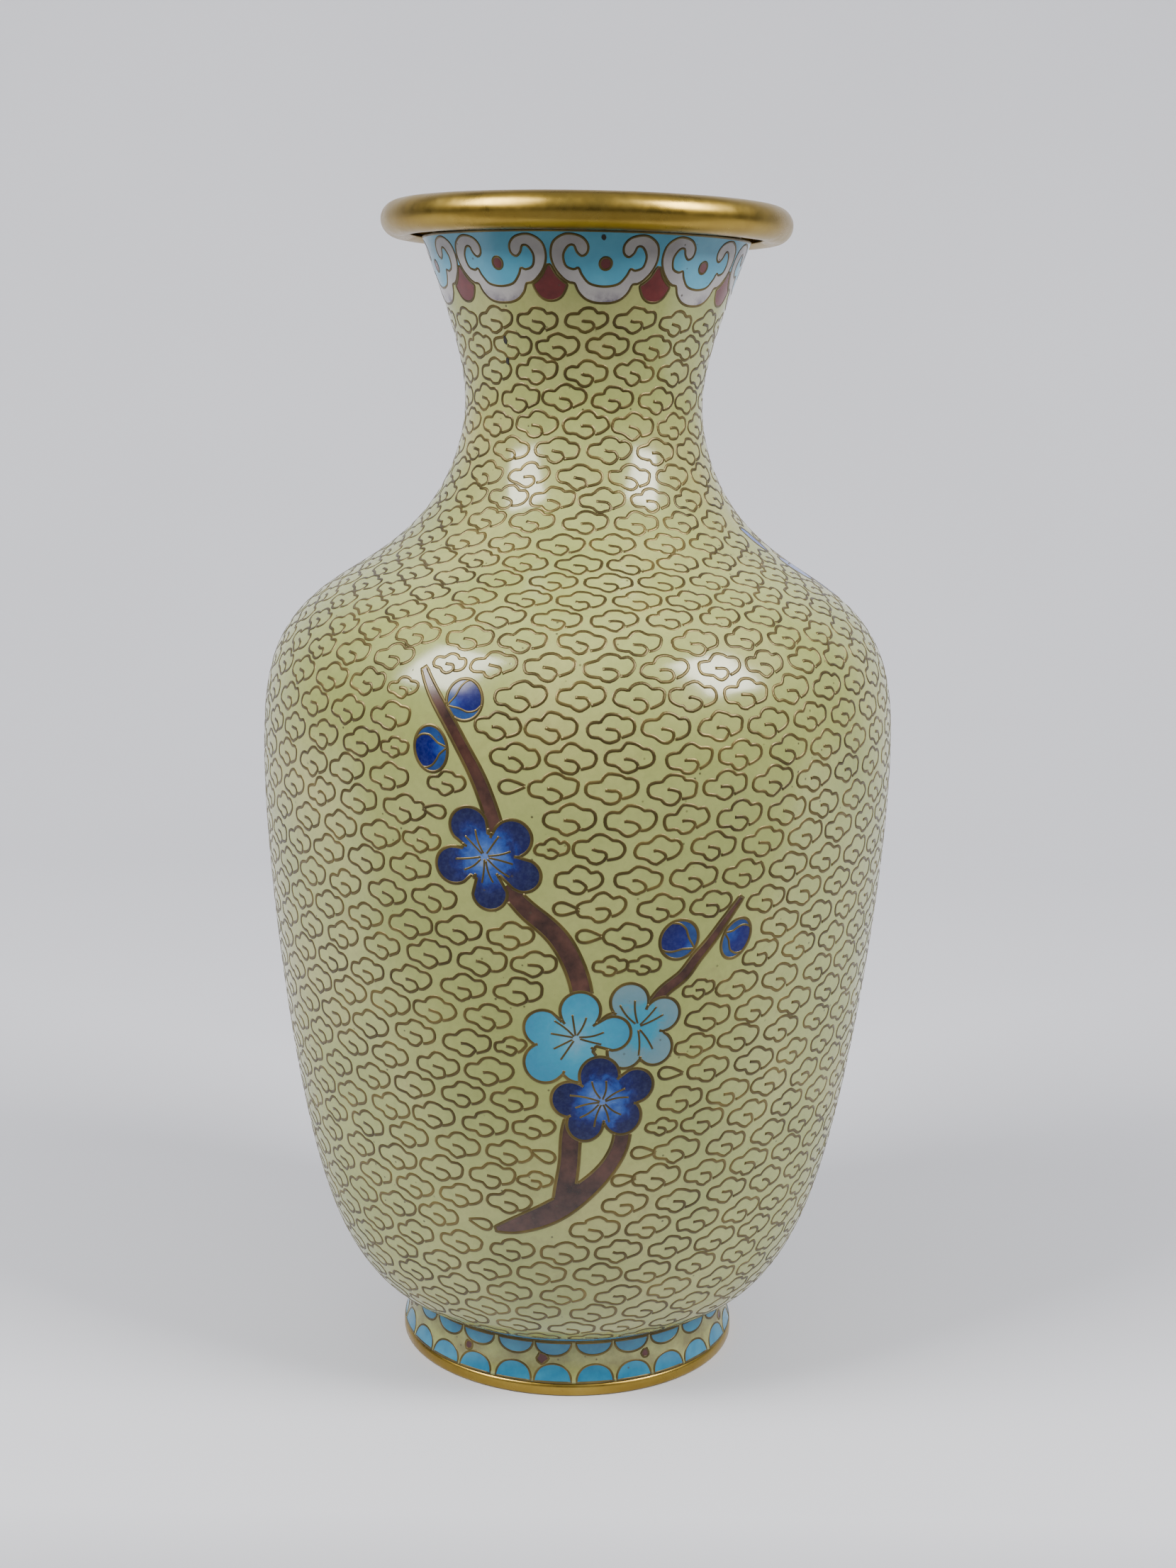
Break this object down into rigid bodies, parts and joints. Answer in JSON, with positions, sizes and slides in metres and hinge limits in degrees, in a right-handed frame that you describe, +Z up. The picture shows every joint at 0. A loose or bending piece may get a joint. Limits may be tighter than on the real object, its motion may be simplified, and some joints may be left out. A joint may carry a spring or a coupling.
{
  "type": "cloisonne vase",
  "caption": "Shouldered baluster vase in cloisonne enamel on copper, with a rolled brass lip, a cloud-head collar, a plum blossom spray and a scalloped foot.",
  "frame": {"origin": "middle of the flat ring that the vase stands on", "axes": "+Z up along the vase's axis of revolution, -Y towards the side with the plum blossom spray"},
  "size_m": [0.1034, 0.1034, 0.19],
  "materials": {
    "copper": "beaten copper, seen only through the enamel's gaps",
    "brass": "gilt brass, satin, a little worn",
    "lining_enamel": "unpolished glossy counter-enamel",
    "turquoise_enamel": "polished enamel",
    "white_enamel": "polished enamel with fine pits",
    "oxblood_enamel": "polished enamel",
    "ground_enamel": "polished enamel with fine pits",
    "brown_enamel": "mottled polished enamel",
    "dark_blue_enamel": "polished enamel, shaded to light blue",
    "pale_blue_enamel": "polished enamel"
  },
  "bodies": {
    "root": {"belly_shell": "copper", "neck_shell": "copper", "foot_skirt": "copper", "base_plate": "copper", "rim_ring": "brass", "foot_band": "brass", "interior_enamel": "lining_enamel", "base_enamel": "lining_enamel", "ground_enamel": "ground_enamel", "foot_ground_enamel": "ground_enamel", "ground_fork_cell": "ground_enamel", "collar_field": "turquoise_enamel", "cloud_head_1": "white_enamel", "cloud_head_2": "white_enamel", "cloud_head_3": "white_enamel", "cloud_head_4": "white_enamel", "cloud_head_5": "white_enamel", "cloud_head_6": "white_enamel", "cloud_head_7": "white_enamel", "cloud_head_8": "white_enamel", "cloud_head_9": "white_enamel", "collar_drop_1": "oxblood_enamel", "collar_drop_2": "oxblood_enamel", "collar_drop_3": "oxblood_enamel", "collar_drop_4": "oxblood_enamel", "collar_drop_5": "oxblood_enamel", "collar_drop_6": "oxblood_enamel", "collar_drop_7": "oxblood_enamel", "collar_drop_8": "oxblood_enamel", "collar_drop_9": "oxblood_enamel", "foot_scallops_upper": "turquoise_enamel", "foot_scallops_lower": "turquoise_enamel", "flower_turquoise": "turquoise_enamel", "flower_pale": "pale_blue_enamel", "flower_upper": "dark_blue_enamel", "flower_lower": "dark_blue_enamel", "back_flower": "dark_blue_enamel", "bud_upper_right": "dark_blue_enamel", "bud_upper_left": "dark_blue_enamel", "bud_right_inner": "dark_blue_enamel", "bud_right_outer": "dark_blue_enamel", "back_bud_left": "dark_blue_enamel", "back_bud_right": "dark_blue_enamel", "butterfly_body": "dark_blue_enamel", "butterfly_left_wing": "dark_blue_enamel", "butterfly_right_wing": "dark_blue_enamel", "branch_upper": "brown_enamel", "branch_middle": "brown_enamel", "branch_right": "brown_enamel", "branch_stem": "brown_enamel", "branch_fork": "brown_enamel", "back_branch_upper": "brown_enamel", "back_branch_lower": "brown_enamel"}
  },
  "joints": []
}
